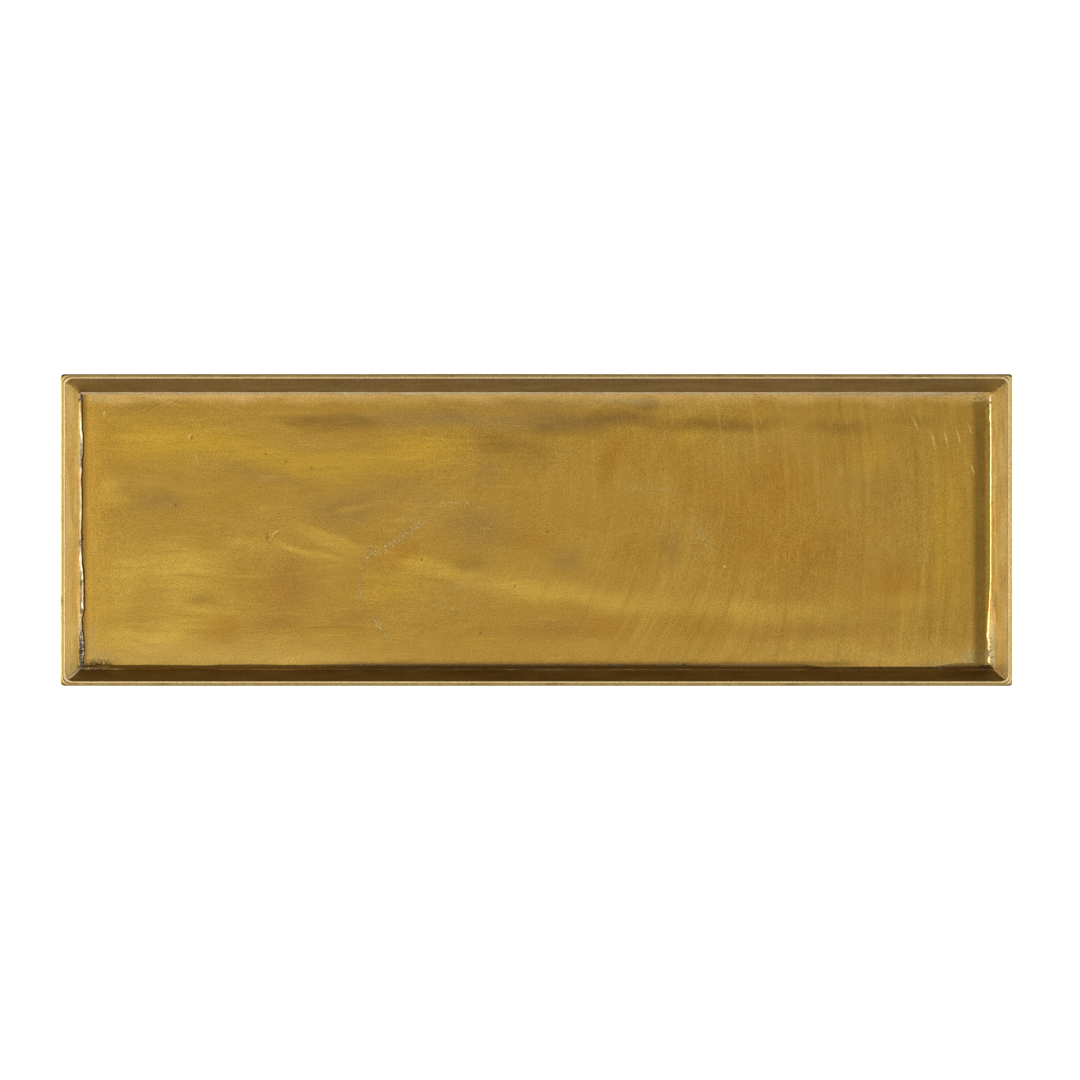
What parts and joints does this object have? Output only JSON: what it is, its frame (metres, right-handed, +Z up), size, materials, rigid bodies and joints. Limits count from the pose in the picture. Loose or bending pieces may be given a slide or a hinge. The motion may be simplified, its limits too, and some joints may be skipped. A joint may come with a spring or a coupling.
{
  "type": "serving tray",
  "caption": "Long shallow rectangular tray of aged brass sheet with low outward-leaning walls, a thickened rim strip and soldered seams.",
  "frame": {"origin": "middle of the tray's flat underside", "axes": "+X along the tray's length, +Y across its width, +Z up out of the open top"},
  "size_m": [0.61, 0.2, 0.025],
  "materials": {
    "floor_brass": "satin",
    "wall_brass": "satin",
    "rim_brass": "satin",
    "solder": "satin"
  },
  "bodies": {
    "root": {"floor_plate": "floor_brass", "wall_front": "wall_brass", "wall_back": "wall_brass", "wall_left": "wall_brass", "wall_right": "wall_brass", "rim_front": "rim_brass", "rim_back": "rim_brass", "rim_left": "rim_brass", "rim_right": "rim_brass", "floor_seam_front": "solder", "floor_seam_back": "solder", "floor_seam_left": "solder", "floor_seam_right": "solder", "rim_seam_front": "solder", "rim_seam_back": "solder", "rim_seam_left": "solder", "rim_seam_right": "solder", "corner_seam_front_left": "solder", "corner_seam_front_right": "solder", "corner_seam_back_left": "solder", "corner_seam_back_right": "solder"}
  },
  "joints": []
}
